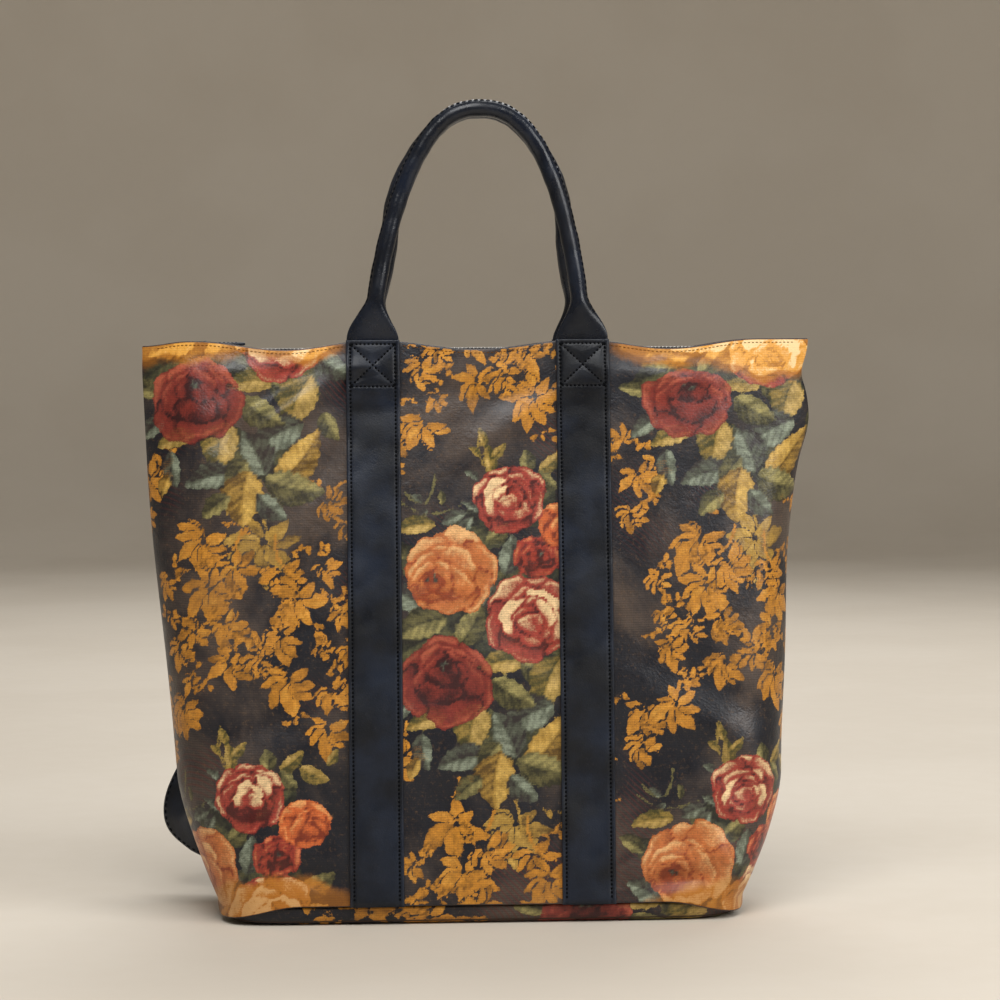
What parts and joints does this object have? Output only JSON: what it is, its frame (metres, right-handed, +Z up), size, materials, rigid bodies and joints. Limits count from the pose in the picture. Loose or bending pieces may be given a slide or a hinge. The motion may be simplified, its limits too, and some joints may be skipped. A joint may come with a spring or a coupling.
{
  "type": "backpack",
  "caption": "Tote backpack of printed leather with a zipped flat mouth, boxed base, rolled top handles, sewn vertical straps and adjustable shoulder straps at the back.",
  "frame": {"origin": "middle of the underside of the base, on the floor", "axes": "+Z up, the front of the bag faces -Y, +X to the right seen from the front"},
  "size_m": [0.44, 0.1691, 0.5335],
  "materials": {
    "printed_leather": "satin",
    "navy_leather": "satin",
    "zip_cloth": "matte",
    "zip_metal": "polished",
    "strap_metal": "satin"
  },
  "bodies": {
    "bag": {"front_panel": "printed_leather", "back_panel": "printed_leather", "base_panel": "printed_leather", "front_strap_left": "navy_leather", "front_strap_right": "navy_leather", "back_strap_left": "navy_leather", "back_strap_right": "navy_leather", "front_handle": "navy_leather", "back_handle": "navy_leather", "zip_tape_front": "zip_cloth", "zip_tape_back": "zip_cloth", "zip_teeth_front": "zip_metal", "zip_teeth_back": "zip_metal", "zip_end_left": "navy_leather", "zip_end_right": "navy_leather", "zip_stops": "zip_metal", "shoulder_strap_left": "navy_leather", "shoulder_strap_right": "navy_leather", "strap_slide_left": "strap_metal", "strap_slide_right": "strap_metal", "strap_patch": "navy_leather"},
    "slider": {"zip_slider": "zip_metal"},
    "pull": {"pull_link": "zip_metal", "zip_pull": "navy_leather"}
  },
  "joints": [
    {"name": "zip_slide", "type": "slide", "parent": "bag", "child": "slider", "axis": [1, 0, 0], "range_m": [0, 0.34]},
    {"name": "pull_hinge", "type": "hinge", "parent": "slider", "child": "pull", "pos_m": [-0.1864, 0, 0.375], "axis": [0, -1, 0], "range_deg": [0, 150]}
  ]
}
